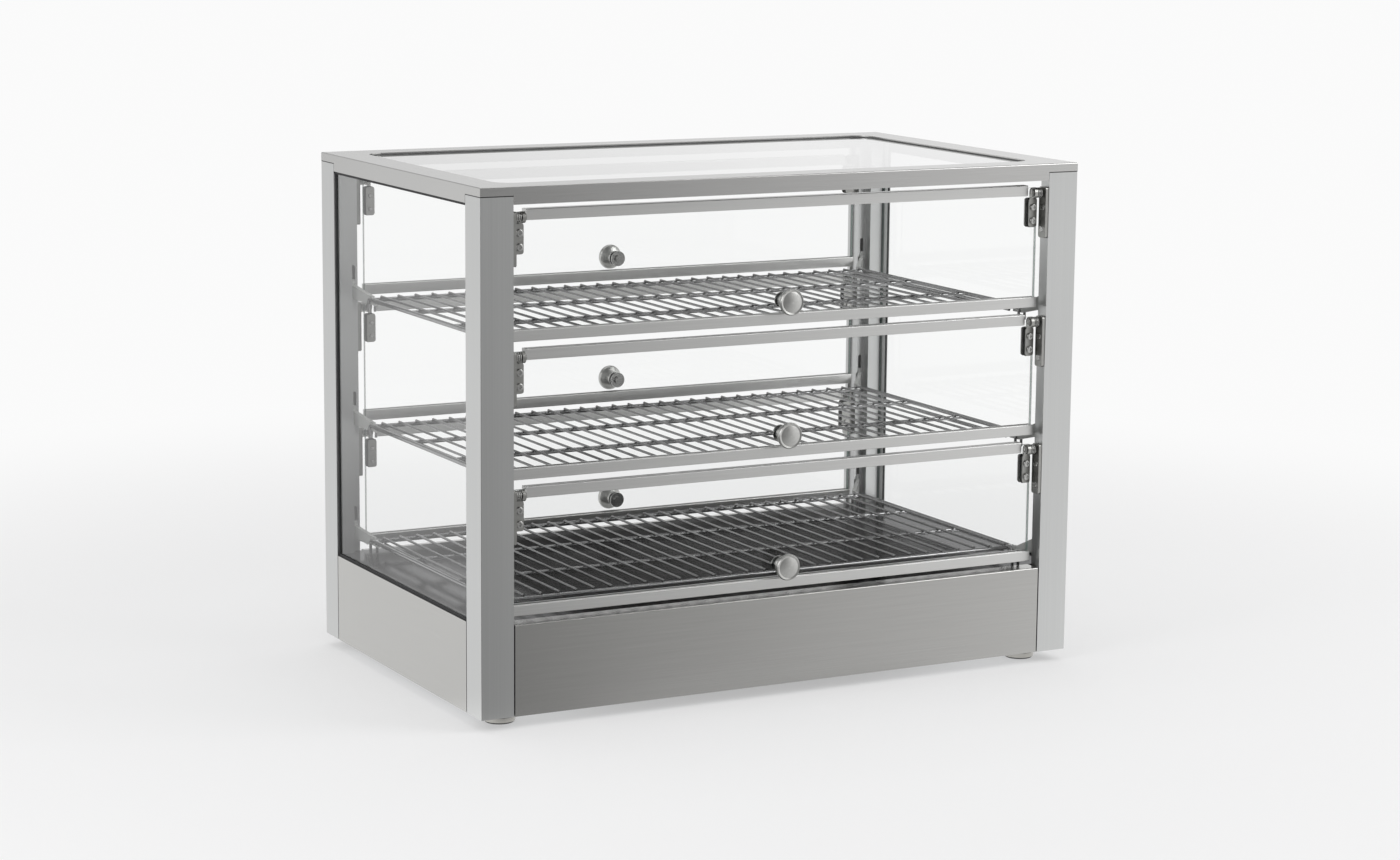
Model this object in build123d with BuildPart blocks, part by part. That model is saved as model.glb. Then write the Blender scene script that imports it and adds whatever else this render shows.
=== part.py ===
from build123d import *
import os
from math import cos, pi, radians, sin, sqrt, tan

# Countertop food warmer display with three heated tiers: four aluminium posts carry a steel top frame
# with a glass pane, glass sides, and three flap doors at the front and three at the rear.
# Lengths are millimetres. The origin is on the table under the middle of the cabinet, X runs along its
# width, the front looks along -Y and Z points up.

# Driving dimensions
width = 780.0
depth = 470.0
foot_height = 14.0
body_height = 596.0
base_height = 105.0
cap_height = 10.0
skirt_height = 20.0
sheet = 1.5
post_side = 40.0
pane = 4.0
rear_setback = 15.0

# Heights above the table
base_top = foot_height + base_height
frame_top = foot_height + body_height
post_top = frame_top - cap_height
skirt_bottom = frame_top - skirt_height

# Doors
door_glass = 5.0
door_height = 147.0
door_pitch = 155.5
door_top_edge = foot_height + 569.5
door_glass_half = 344.0
door_face = 218.0
door_inner = door_face - door_glass
door_tops = {
    "upper": door_top_edge,
    "middle": door_top_edge - door_pitch,
    "lower": door_top_edge - 2 * door_pitch,
}

# Hinges, as distances from the middle of the cabinet
hinge_y = 225.0
hinge_drop = 8.5
knuckle_radius = 6.5
knuckle_x = (332.8, 337.0)
pin_radius = 2.5
pin_play = 0.05
clamp_x = (331.4, 342.4)
clamp_drop = (16.0, 49.8)
clamp_plate = 3.0
clamp_corner = 2.5
knuckle_root = 4.0
clamp_screw_x = 337.0
clamp_screw_drops = (26.2, 42.2)
clamp_hole = 2.3

# Shelves
shelf_half_x = 347.0
shelf_half_y = 181.0
shelf_wire = 2.75
shelf_heights = {
    "upper": foot_height + 419.5,
    "middle": foot_height + 264.0,
    "lower": foot_height + 121.0,
}
slot_width = 4.7
slot_height = 24.0
slot_rise = 27.5
arm_thickness = 4.0
arm_x = 358.5
seat_x = 343.0

sides = (-1, 1)
corners = [(side_x, side_y) for side_x in sides for side_y in sides]
side_names = {-1: "left", 1: "right"}
face_names = {-1: "front", 1: "rear"}

os.makedirs("parts", exist_ok=True)


def save(piece, name):
    """Label a finished piece and write it under its node's name."""
    piece.part.label = name
    export_step(piece.part, f"parts/{name}.step")


def upright_plane(side_y, y):
    """Upright plane that faces away from the cabinet's middle, at distance y from it, with Z as height."""
    return Plane(origin=(0, side_y * y, 0), x_dir=(-side_y, 0, 0), z_dir=(0, side_y, 0))


def span(first, last, side=1):
    """Middle and length of the stretch from first to last on one side of the cabinet."""
    return side * (first + last) / 2, abs(last - first)


# Corner posts: hollow extrusions, drawn as distances in from the outer faces (across, back)
post_step = 37.0
post_front_lip = 6.0
post_back = 21.5
post_outline = [
    (0, 0), (post_side, 0), (post_side, post_front_lip), (post_step, post_front_lip), (post_step, post_back),
    (25.5, post_back), (25.5, 33), (8.5, 33), (8.5, 30), (2.5, 30), (2.5, post_side), (0, post_side),
]
post_hollow = [
    (2.5, 2.5), (34.5, 2.5), (34.5, 19), (23, 19), (23, 30.5), (11, 30.5), (11, 27.5), (2.5, 27.5),
]
slot_face = depth / 2 - post_back
slot_wall = 2.5
post_corner_radius = 0.8


def post_points(points, side_x, side_y):
    """Turn distances in from a post's outer corner into places on the plan."""
    return [(side_x * (width / 2 - a), side_y * (depth / 2 - b)) for a, b in points]


def reach_out(edge):
    """How far an upright edge stands from the cabinet's middle, across and back together."""
    return abs(edge.center().X) + abs(edge.center().Y)


def make_post(side_x, side_y):
    with BuildPart() as post:
        with BuildSketch(Plane.XY.offset(foot_height)):
            with BuildLine():
                Polyline(*post_points(post_outline, side_x, side_y), close=True)
            make_face()
            with BuildLine():
                Polyline(*post_points(post_hollow, side_x, side_y), close=True)
            make_face(mode=Mode.SUBTRACT)
        extrude(amount=post_top - foot_height)
        outer_edge = post.edges().filter_by(Axis.Z).sort_by(reach_out)[-1]
        fillet(outer_edge, post_corner_radius)
        slot_places = [(arm_x * side_x * -side_y, height + slot_rise) for height in shelf_heights.values()]
        with BuildSketch(upright_plane(side_y, slot_face + slot_wall / 2)):
            with Locations(*slot_places):
                SlotOverall(slot_height, slot_width, rotation=90)
        extrude(amount=slot_wall, both=True, mode=Mode.SUBTRACT)
    return post


for side_x, side_y in corners:
    save(make_post(side_x, side_y), f"post_{face_names[side_y]}_{side_names[side_x]}")

# Top frame: one folded sheet with a rounded window, a skirt between the posts and pads over them
window_x = 700.0
window_y = 394.0
window_radius = 22.0
frame_edge_radius = 1.4
pad_x = 29.0
pad_y = 27.5
skirt_gap = 0.6

with BuildPart() as top_frame:
    with BuildSketch(Plane.XY.offset(frame_top - sheet)):
        Rectangle(width, depth)
        RectangleRounded(window_x, window_y, window_radius, mode=Mode.SUBTRACT)
    extrude(amount=sheet)
    with BuildSketch(Plane.XY.offset(post_top)):
        Rectangle(width, depth)
        Rectangle(width - 2 * sheet, depth - 2 * sheet, mode=Mode.SUBTRACT)
        with GridLocations(width - pad_x, depth - pad_y, 2, 2):
            Rectangle(pad_x, pad_y)
    extrude(amount=cap_height - sheet)
    with BuildSketch(Plane.XY.offset(skirt_bottom)):
        Rectangle(width, depth)
        Rectangle(width - 2 * sheet, depth - 2 * sheet, mode=Mode.SUBTRACT)
        with GridLocations(width - post_side, depth - post_side, 2, 2):
            Rectangle(post_side + 2 * skirt_gap, post_side + 2 * skirt_gap, mode=Mode.SUBTRACT)
    extrude(amount=skirt_height - cap_height)
    top_edges = top_frame.faces().sort_by(Axis.Z)[-1].outer_wire().edges()
    fillet(top_edges, frame_edge_radius)
save(top_frame, "top_frame")

# Top pane, bonded under the sheet on a black sealing strip
bond = 1.0
pane_x = 716.0
pane_y = 410.0
pane_top = frame_top - sheet - bond

with BuildPart() as top_glass:
    with BuildSketch(Plane.XY.offset(pane_top - pane)):
        RectangleRounded(pane_x, pane_y, window_radius)
    extrude(amount=pane)
save(top_glass, "top_glass")

# Side panes, standing in the posts' grooves
side_pane_x = (382.5, 386.5)
side_pane_half = 204.0
side_pane_z = (foot_height + 96.0, foot_height + 590.0)

for side_x in sides:
    with BuildPart() as side_glass:
        middle, thickness = span(*side_pane_x, side_x)
        with BuildSketch(Plane.XY.offset(side_pane_z[0])):
            with Locations((middle, 0)):
                Rectangle(thickness, 2 * side_pane_half)
        extrude(amount=side_pane_z[1] - side_pane_z[0])
    save(side_glass, f"side_glass_{side_names[side_x]}")

# Seals: strips in the posts' grooves, along the top and bottom of the side panes, and under the window's edge
seal_line = 3.0
groove_in = 2.5
groove_out = 8.5
lip = 40.0
groove_bottom = 30.0
groove_end = 33.0
window_lap = 1.0
strip_gap = 0.2
seal_top_z = (skirt_bottom - seal_line, side_pane_z[1])
seal_low_z = (side_pane_z[0], base_top + seal_line)
seal_half = depth / 2 - lip - seal_line - strip_gap

with BuildPart() as glass_seals:
    with BuildSketch(Plane.XY.offset(pane_top)):
        RectangleRounded(pane_x, pane_y, window_radius)
        RectangleRounded(
            window_x - 2 * window_lap, window_y - 2 * window_lap, window_radius, mode=Mode.SUBTRACT,
        )
    extrude(amount=bond)
    with BuildSketch(Plane.XY.offset(side_pane_z[0])):
        for side_x, side_y in corners:
            outer_x, outer_t = span(side_pane_x[1], width / 2 - groove_in, side_x)
            inner_x, inner_t = span(width / 2 - groove_out, side_pane_x[0], side_x)
            strip_y, strip_l = span(depth / 2 - lip - seal_line, depth / 2 - groove_bottom, side_y)
            short_y, short_l = span(depth / 2 - groove_end, depth / 2 - groove_bottom, side_y)
            with Locations((outer_x, strip_y)):
                Rectangle(outer_t, strip_l)
            with Locations((inner_x, short_y)):
                Rectangle(inner_t, short_l)
    extrude(amount=seal_top_z[1] - side_pane_z[0])
    for low, high in (seal_top_z, seal_low_z):
        with BuildSketch(Plane.XY.offset(low)):
            for side_x in sides:
                middle, thickness = span(side_pane_x[1], width / 2 - sheet, side_x)
                with Locations((middle, 0)):
                    Rectangle(thickness, 2 * seal_half)
        extrude(amount=high - low)
save(glass_seals, "glass_seals")

# Base panels: folded sheets with a rounded top fold. The rear one is set back so that its controls stay
# between the posts
fold_radius = 1.4
panel_gap = 1.5
front_flange = 23.5
rear_face = depth / 2 - rear_setback
panel_faces = {-1: depth / 2, 1: rear_face}
floor_fold = 12.0
bottom_sheet = 1.5
fold_low = foot_height + bottom_sheet
fold_top = fold_low + sheet
ledge_z = side_pane_z[0] - sheet
floor_half_x = 381.0
floor_half_y = depth / 2 - front_flange
thermostat_x = 150.0
switch_x = 235.0
gland_x = -300.0
control_z = foot_height + 54.0
gland_z = foot_height + 40.0
shaft_bush = 4.5
switch_cut = (27.2, 21.2)
gland_thread = 8.0

for side_y in sides:
    with BuildPart() as base_panel:
        half = width / 2 - post_side - panel_gap
        face = panel_faces[side_y]
        section = [
            (face, foot_height), (face, base_top), (floor_half_y, base_top), (floor_half_y, base_top - sheet),
            (face - sheet, base_top - sheet), (face - sheet, fold_top), (face - floor_fold, fold_top),
            (face - floor_fold, fold_low), (face - sheet, fold_low), (face - sheet, foot_height),
        ]
        with BuildSketch(Plane.YZ.offset(-half)):
            with BuildLine():
                Polyline(*[(side_y * y, z) for y, z in section], close=True)
            make_face()
        extrude(amount=2 * half)
        long_edges = base_panel.edges().filter_by(Axis.X)
        top_fold = long_edges.sort_by(lambda e: e.center().Z + abs(e.center().Y))[-1]
        fillet(top_fold, fold_radius)
        if side_y > 0:
            with BuildSketch(Plane.XZ.offset(-face)):
                with Locations((thermostat_x, control_z)):
                    Circle(shaft_bush)
                with Locations((switch_x, control_z)):
                    Rectangle(*switch_cut)
                with Locations((gland_x, gland_z)):
                    Circle(gland_thread)
            extrude(amount=2 * sheet, both=True, mode=Mode.SUBTRACT)
    save(base_panel, f"base_panel_{face_names[side_y]}")

for side_x in sides:
    with BuildPart() as base_panel:
        half = depth / 2 - post_side - panel_gap
        face = width / 2
        section = [
            (face, foot_height), (face, base_top), (face - sheet, base_top), (face - sheet, side_pane_z[0]),
            (floor_half_x, side_pane_z[0]), (floor_half_x, ledge_z), (face - sheet, ledge_z),
            (face - sheet, fold_top), (face - floor_fold, fold_top), (face - floor_fold, fold_low),
            (face - sheet, fold_low), (face - sheet, foot_height),
        ]
        with BuildSketch(Plane.XZ.offset(-half)):
            with BuildLine():
                Polyline(*[(side_x * x, z) for x, z in section], close=True)
            make_face()
        extrude(amount=2 * half)
    save(base_panel, f"base_panel_{side_names[side_x]}")

# Floor plate: bright steel tray over the base, notched round the posts, with a fold down at front and rear
tray_fold = 10.0
notch_x = 18.5
notch_y = 11.5

with BuildPart() as floor_plate:
    with BuildSketch(Plane.XY.offset(base_top - sheet)):
        Rectangle(2 * floor_half_x, 2 * floor_half_y)
        with GridLocations(2 * floor_half_x - notch_x, 2 * floor_half_y - notch_y, 2, 2):
            Rectangle(notch_x, notch_y, mode=Mode.SUBTRACT)
    extrude(amount=sheet)
    with BuildSketch(Plane.XY.offset(base_top - tray_fold)):
        with GridLocations(0, 2 * floor_half_y - sheet, 1, 2):
            Rectangle(2 * (floor_half_x - notch_x - panel_gap), sheet)
    extrude(amount=tray_fold - sheet)
save(floor_plate, "floor_plate")

# Bottom plate: closes the base and carries the feet, notched round the posts
plate_gap = 0.3

with BuildPart() as bottom_plate:
    with BuildSketch(Plane.XY.offset(foot_height)):
        with Locations((0, -rear_setback / 2)):
            Rectangle(width - 2 * sheet - plate_gap, depth - rear_setback - 2 * sheet - plate_gap)
        with GridLocations(width - post_side, depth - post_side, 2, 2):
            Rectangle(post_side + panel_gap, post_side + panel_gap, mode=Mode.SUBTRACT)
    extrude(amount=bottom_sheet)
save(bottom_plate, "bottom_plate")

# Feet: turned metal discs on a narrower neck
foot_radius = 18.2
foot_neck = 9.0
foot_disc = 8.5
foot_inset = 40.0
foot_bevel = (2.0, 1.5)

with BuildPart() as feet:
    for side_x, side_y in corners:
        foot_x = side_x * (width / 2 - foot_inset)
        foot_y = side_y * (depth / 2 - foot_inset)
        with BuildSketch(Plane.XZ.offset(-foot_y)):
            with BuildLine():
                Polyline(
                    (foot_x, 0), (foot_x + foot_radius - foot_bevel[0], 0),
                    (foot_x + foot_radius, foot_bevel[0]), (foot_x + foot_radius, foot_disc - foot_bevel[1]),
                    (foot_x + foot_radius - foot_bevel[1], foot_disc),
                    (foot_x + foot_neck, foot_disc), (foot_x + foot_neck, foot_height), (foot_x, foot_height),
                    close=True,
                )
            make_face()
        revolve(axis=Axis((foot_x, foot_y, 0), (0, 0, 1)))
save(feet, "feet")

# Shelf support arms: upright plates that hook in a post's slot, bend inwards and carry a shelf's front wire
hook_y = 219.0
bend_y = 212.0
seat_bend_y = bend_y - (arm_x - seat_x)
arm_end_y = 177.0
mitre = arm_thickness / 2 * tan(radians(22.5))
arm_play = 0.3
arm_blank = 60.0
arm_blank_drop = 20.0
arm_front = slot_face - arm_play
hook_front = slot_face + slot_wall + arm_play
seat_z = -shelf_wire - arm_play
arm_profile = [
    (hook_y, 9), (hook_front, 9), (hook_front, 17), (arm_front, 17), (arm_front, -1), (seat_bend_y, -6.5),
    (arm_end_y, -7), (arm_end_y, seat_z), (186.5, seat_z), (189, 4), (seat_bend_y, 4), (bend_y, 15.5),
    (arm_front, 22), (hook_y, 22),
]


def arm_plan(side_x, side_y):
    """Plan of one arm: a strip that runs straight out of the slot, slants inwards and runs straight again."""
    half = arm_thickness / 2
    points = [
        (arm_x + half, hook_y), (arm_x + half, bend_y - mitre), (seat_x + half, seat_bend_y - mitre),
        (seat_x + half, arm_end_y), (seat_x - half, arm_end_y), (seat_x - half, seat_bend_y + mitre),
        (arm_x - half, bend_y + mitre), (arm_x - half, hook_y),
    ]
    return [(side_x * x, side_y * y) for x, y in points]


def make_arm(side_x, side_y, height):
    with BuildPart(mode=Mode.PRIVATE) as arm:
        with BuildSketch(Plane.XY.offset(height - arm_blank_drop)):
            with BuildLine():
                Polyline(*arm_plan(side_x, side_y), close=True)
            make_face()
        extrude(amount=arm_blank)
        with BuildSketch(Plane.YZ.offset(side_x * (seat_x - arm_blank_drop))):
            with BuildLine():
                Polyline(*[(side_y * y, height + z) for y, z in arm_profile], close=True)
            make_face()
        extrude(amount=side_x * arm_blank, mode=Mode.INTERSECT)
    return arm.part


arms = [make_arm(side_x, side_y, height) for height in shelf_heights.values() for side_x, side_y in corners]
with BuildPart() as shelf_supports:
    add(arms)
save(shelf_supports, "shelf_supports")

# Shelves: welded wire grids, with two prongs at each corner that straddle the support arms
slat_wire = 1.5
slat_pitch = 22.36
slat_count = 31
cross_wire = 2.5
cross_y = 62.0
prong_wire = 1.75
prong_spread = 4.2
prong_y = 193.0
inner_prong_y = 168.0
prong_drop = 15.7
prong_bend = 4.0
shelf_corner = 8.0
weld = 0.5
under_x = 333.0


def make_shelf(height):
    with BuildPart() as shelf:
        with BuildLine(Plane.XY.offset(height)) as rim:
            FilletPolyline(
                (shelf_half_x, shelf_half_y), (-shelf_half_x, shelf_half_y), (-shelf_half_x, -shelf_half_y),
                (shelf_half_x, -shelf_half_y), radius=shelf_corner, close=True,
            )
        with BuildSketch(Plane(origin=rim.line @ 0, z_dir=rim.line % 0)):
            Circle(shelf_wire)
        sweep(path=rim.line)
        slat_z = height + shelf_wire + slat_wire - weld
        under_z = height - shelf_wire - cross_wire + 2 * weld
        with BuildSketch(Plane.XZ.offset(-shelf_half_y)):
            with Locations((0, slat_z)):
                with GridLocations(slat_pitch, 0, slat_count, 1):
                    Circle(slat_wire)
        extrude(amount=2 * shelf_half_y)
        with BuildSketch(Plane.YZ.offset(-shelf_half_x)):
            with Locations((-cross_y, height), (cross_y, height)):
                Circle(cross_wire)
        extrude(amount=2 * shelf_half_x)
        with BuildSketch(Plane.XZ.offset(-shelf_half_y)):
            with Locations((-under_x, under_z), (under_x, under_z)):
                Circle(prong_wire)
        extrude(amount=2 * shelf_half_y)
        prongs = ((seat_x + prong_spread, inner_prong_y), (seat_x - prong_spread, shelf_half_y))
        for side_x, side_y in corners:
            for prong_x, start_y in prongs:
                with BuildLine() as prong:
                    FilletPolyline(
                        (side_x * prong_x, side_y * start_y, height),
                        (side_x * prong_x, side_y * prong_y, height),
                        (side_x * prong_x, side_y * prong_y, height - prong_drop),
                        radius=prong_bend,
                    )
                with BuildSketch(Plane(origin=prong.line @ 0, z_dir=prong.line % 0)):
                    Circle(prong_wire)
                sweep(path=prong.line)
    return shelf


for tier, height in shelf_heights.items():
    save(make_shelf(height), f"shelf_{tier}")

# Hinge brackets: cast blocks on the posts' inner walls, stepped round the post's lip, with a hole for the pin
bracket_inner = 346.0
bracket_y = (219.6, 234.2)
bracket_top = 7.0
bracket_bottom = 54.0
bracket_round = 3.0
post_wall_x = width / 2 - post_step
post_lip_x = width / 2 - post_side
post_lip_y = depth / 2 - post_front_lip
bracket_screw_drops = (18.0, 43.5)
bracket_screw_y = 227.0
screw_core = 1.8
bracket_plan = [
    (bracket_inner, bracket_y[0]), (post_wall_x, bracket_y[0]), (post_wall_x, post_lip_y),
    (post_lip_x, post_lip_y), (post_lip_x, bracket_y[1]), (bracket_inner, bracket_y[1]),
]


def make_bracket(side_x, side_y, axis_z):
    through = side_x * (post_wall_x - bracket_inner)
    with BuildPart(mode=Mode.PRIVATE) as bracket:
        with BuildSketch(Plane.XY.offset(axis_z - bracket_bottom)):
            with BuildLine():
                Polyline(*[(side_x * x, side_y * y) for x, y in bracket_plan], close=True)
            make_face()
        extrude(amount=bracket_bottom + bracket_top)
        with BuildSketch(Plane.YZ.offset(side_x * bracket_inner)):
            middle, across = span(*bracket_y, side_y)
            with Locations((middle, axis_z + (bracket_top - bracket_bottom) / 2)):
                RectangleRounded(across, bracket_top + bracket_bottom, bracket_round)
            with Locations((side_y * hinge_y, axis_z)):
                Circle(pin_radius, mode=Mode.SUBTRACT)
            for drop in bracket_screw_drops:
                with Locations((side_y * bracket_screw_y, axis_z - drop)):
                    Circle(screw_core, mode=Mode.SUBTRACT)
        extrude(amount=through, mode=Mode.INTERSECT)
    return bracket.part


hinge_places = [
    (side_x, side_y, top - hinge_drop) for top in door_tops.values() for side_x, side_y in corners
]
with BuildPart() as hinge_brackets:
    add([make_bracket(*place) for place in hinge_places])
save(hinge_brackets, "hinge_brackets")

# Hinge pins: pressed in the brackets, with a flat head beyond the door's knuckle
pin_head_x = (331.4, 332.4)
pin_head_radius = 4.5

with BuildPart() as hinge_pins:
    for side_x, side_y, axis_z in hinge_places:
        with BuildSketch(Plane.YZ.offset(side_x * pin_head_x[0])):
            with Locations((side_y * hinge_y, axis_z)):
                Circle(pin_radius)
        extrude(amount=side_x * (post_wall_x - pin_head_x[0]))
        with BuildSketch(Plane.YZ.offset(side_x * pin_head_x[0])):
            with Locations((side_y * hinge_y, axis_z)):
                Circle(pin_head_radius)
        extrude(amount=side_x * (pin_head_x[1] - pin_head_x[0]))
save(hinge_pins, "hinge_pins")

# Bracket screws: low heads on the bracket's inner face, with their shanks through it to the post's wall
bracket_head = 3.6
bracket_head_height = 0.9
bracket_head_slope = 20

with BuildPart() as bracket_screws:
    for side_x, side_y, axis_z in hinge_places:
        for drop in bracket_screw_drops:
            place = (side_y * bracket_screw_y, axis_z - drop)
            with BuildSketch(Plane.YZ.offset(side_x * bracket_inner)):
                with Locations(place):
                    Circle(bracket_head)
            extrude(amount=-side_x * bracket_head_height, taper=bracket_head_slope)
            with BuildSketch(Plane.YZ.offset(side_x * bracket_inner)):
                with Locations(place):
                    Circle(screw_core)
            extrude(amount=side_x * (post_wall_x - bracket_inner))
save(bracket_screws, "bracket_screws")

# Hinge springs: open coils of round wire on the pins, made of quarter turns, each a pair of arcs
spring_wire = 0.85
spring_radius = 5.3
spring_turns = 3
spring_pitch = 2.15
spring_start = 338.4


def coil_point(quarter, side_x, side_y, axis_z):
    """Place and direction of the wire's middle after a number of quarter turns."""
    angle = quarter * pi / 2
    rise = spring_pitch / (2 * pi)
    length = sqrt(spring_radius**2 + rise**2)
    place = Vector(
        side_x * (spring_start + rise * angle),
        side_y * (hinge_y + spring_radius * sin(angle)),
        axis_z + spring_radius * cos(angle),
    )
    heading = Vector(
        side_x * rise / length,
        side_y * spring_radius * cos(angle) / length,
        -spring_radius * sin(angle) / length,
    )
    return place, heading


def arc_pair(start, start_heading, end, end_heading):
    """Where two arcs that leave start and reach end in the given directions meet, and the heading there."""
    chord = end - start
    both = start_heading + end_heading
    square = both.dot(both) - 4
    reach = (chord.dot(both) - sqrt(chord.dot(both) ** 2 - square * chord.dot(chord))) / square
    first = start + start_heading * reach
    last = end - end_heading * reach
    return (first + last) * 0.5, (last - first).normalized()


def make_spring(side_x, side_y, axis_z):
    quarters = [coil_point(quarter, side_x, side_y, axis_z) for quarter in range(4 * spring_turns + 1)]
    start, start_heading = quarters[0]
    end, end_heading = quarters[-1]
    straight = 2 * spring_wire
    with BuildPart(mode=Mode.PRIVATE) as spring:
        with BuildLine() as wire:
            Line(start - start_heading * straight, start)
            for (here, heading), (there, next_heading) in zip(quarters, quarters[1:]):
                meet, meet_heading = arc_pair(here, heading, there, next_heading)
                TangentArc(here, meet, tangent=heading)
                TangentArc(meet, there, tangent=meet_heading)
            Line(end, end + end_heading * straight)
        with BuildSketch(Plane(origin=start - start_heading * straight, z_dir=start_heading)):
            Circle(spring_wire)
        sweep(path=wire.line)
    return spring.part


def least_gap(turns, pitch, radius, wire):
    """Least clear gap between neighbouring turns, measured on points of the wire's middle line."""
    steps = 72
    rise = pitch / (2 * pi)
    points = [
        Vector(rise * 2 * pi * i / steps, radius * sin(2 * pi * i / steps), radius * cos(2 * pi * i / steps))
        for i in range(turns * steps + 1)
    ]
    far = [
        (a - b).length for i, a in enumerate(points) for b in points[i + steps // 2:]
    ]
    return min(far) - 2 * wire


print("spring gap", round(least_gap(spring_turns, spring_pitch, spring_radius, spring_wire), 3))
with BuildPart() as hinge_springs:
    add([make_spring(*place) for place in hinge_places])
save(hinge_springs, "hinge_springs")

# Doors: each a glass pane with a rail at top and bottom, hinge clamps, fasteners and a knob
rail_height = 12.6
rail_y = (210.0, 222.0)
rail_half_top = 328.6
rail_bite = 9.0
rail_radius = 1.0
knob_rise = 27.0
knob_hole = 2.8


def make_door_glass(side_y, top):
    low = top - door_height + rail_height - rail_bite
    high = top - rail_height + rail_bite
    with BuildPart() as glass:
        with BuildSketch(upright_plane(side_y, door_inner)):
            with Locations((0, (low + high) / 2)):
                Rectangle(2 * door_glass_half, high - low)
            with Locations((0, top - door_height + knob_rise)):
                Circle(knob_hole, mode=Mode.SUBTRACT)
            for side_x in sides:
                for drop in clamp_screw_drops:
                    with Locations((side_x * clamp_screw_x, top - drop)):
                        Circle(clamp_hole, mode=Mode.SUBTRACT)
        extrude(amount=door_glass)
    return glass


def make_door_rails(side_y, top):
    with BuildPart() as rails:
        for half, low, opening in (
            (rail_half_top, top - rail_height, top - rail_height),
            (door_glass_half, top - door_height, top - door_height + rail_height - rail_bite),
        ):
            middle, across = span(*rail_y, side_y)
            slot_middle, slot_across = span(door_inner, door_face, side_y)
            with BuildSketch(Plane.YZ.offset(-half)):
                with Locations((middle, low + rail_height / 2)):
                    RectangleRounded(across, rail_height, rail_radius)
                with Locations((slot_middle, opening + rail_bite / 2)):
                    Rectangle(slot_across, rail_bite, mode=Mode.SUBTRACT)
            extrude(amount=2 * half)
    return rails


def make_hinge_clamps(side_y, top):
    axis_z = top - hinge_drop
    plate_low = top - clamp_drop[1]
    plate_high = top - clamp_drop[0]
    with BuildPart() as clamps:
        for side_x in sides:
            middle, across = span(*clamp_x, side_x)
            web_middle, web_across = span(*knuckle_x, side_x)
            knuckle_back = hinge_y - knuckle_radius
            for start_y, thickness, has_knuckle in (
                (door_face, clamp_plate, True), (door_inner - clamp_plate, clamp_plate, False),
            ):
                with BuildSketch(upright_plane(side_y, start_y)):
                    with Locations((-side_y * middle, (plate_low + plate_high) / 2)):
                        RectangleRounded(across, plate_high - plate_low, clamp_corner)
                    for drop in clamp_screw_drops:
                        with Locations((-side_y * side_x * clamp_screw_x, top - drop)):
                            Circle(clamp_hole, mode=Mode.SUBTRACT)
                extrude(amount=thickness)
                if not has_knuckle:
                    continue
                with BuildSketch(upright_plane(side_y, knuckle_back)):
                    with Locations((-side_y * web_middle, (plate_high - knuckle_root + axis_z) / 2)):
                        Rectangle(web_across, axis_z - plate_high + knuckle_root)
                extrude(amount=door_face + clamp_plate - knuckle_back)
                with BuildSketch(Plane.YZ.offset(side_x * knuckle_x[0])):
                    with Locations((side_y * hinge_y, axis_z)):
                        Circle(knuckle_radius)
                extrude(amount=side_x * (knuckle_x[1] - knuckle_x[0]))
                with BuildSketch(Plane.YZ.offset(side_x * knuckle_x[0])):
                    with Locations((side_y * hinge_y, axis_z)):
                        Circle(pin_radius + pin_play)
                extrude(amount=side_x * (knuckle_x[1] - knuckle_x[0]), mode=Mode.SUBTRACT)
    return clamps


# Fasteners of a door: four pan head screws through glass and plates, the knob's screw and two washers
clamp_shank = 2.0
pan_head = 4.4
pan_height = 2.4
pan_round = 1.2
recess = (4.6, 1.0)
recess_depth = 1.3
shank_past = 1.5
washer_out = (9.0, 1.5)
washer_in = (9.5, 1.5)
knob_bolt = 2.5
knob_bolt_head = (4.6, 3.2)
knob_bolt_reach = 8.0
bolt_play = 0.05


def nearest_rim(shape, middle):
    """The round edge of a shape that is nearest to a place."""
    return shape.edges().filter_by(GeomType.CIRCLE).sort_by(lambda e: (e.center() - middle).length)[0]


def make_door_fasteners(side_y, top):
    knob_z = top - door_height + knob_rise
    with BuildPart() as fasteners:
        head_y = door_face + clamp_plate
        tail_y = door_inner - clamp_plate - shank_past
        for side_x in sides:
            for drop in clamp_screw_drops:
                place = (-side_y * side_x * clamp_screw_x, top - drop)
                with BuildSketch(upright_plane(side_y, head_y)):
                    with Locations(place):
                        Circle(pan_head)
                extrude(amount=pan_height)
                head_middle = Vector(side_x * clamp_screw_x, side_y * (head_y + pan_height), top - drop)
                fillet(nearest_rim(fasteners, head_middle), pan_round)
                with BuildSketch(upright_plane(side_y, tail_y)):
                    with Locations(place):
                        Circle(clamp_shank)
                extrude(amount=head_y - tail_y)
                with BuildSketch(upright_plane(side_y, head_y + pan_height - recess_depth)):
                    with Locations(place):
                        Rectangle(*recess)
                        Rectangle(recess[1], recess[0])
                extrude(amount=recess_depth, mode=Mode.SUBTRACT)
        with BuildSketch(upright_plane(side_y, door_face)):
            with Locations((0, knob_z)):
                Circle(washer_out[0])
                Circle(knob_hole, mode=Mode.SUBTRACT)
        extrude(amount=washer_out[1])
        with BuildSketch(upright_plane(side_y, door_inner - washer_in[1])):
            with Locations((0, knob_z)):
                Circle(washer_in[0])
                Circle(knob_hole, mode=Mode.SUBTRACT)
        extrude(amount=washer_in[1])
        bolt_y = door_inner - washer_in[1] - bolt_play
        with BuildSketch(upright_plane(side_y, bolt_y - knob_bolt_head[1])):
            with Locations((0, knob_z)):
                Circle(knob_bolt_head[0])
        extrude(amount=knob_bolt_head[1])
        with BuildSketch(upright_plane(side_y, bolt_y)):
            with Locations((0, knob_z)):
                Circle(knob_bolt)
        extrude(amount=door_face + washer_out[1] + knob_bolt_reach - bolt_y)
    return fasteners


# Knob: a turned mushroom head on a narrow neck, given as radius and height over its washer
knob_head = 15.5
knob_seat = knob_bolt_reach + 0.5


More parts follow.
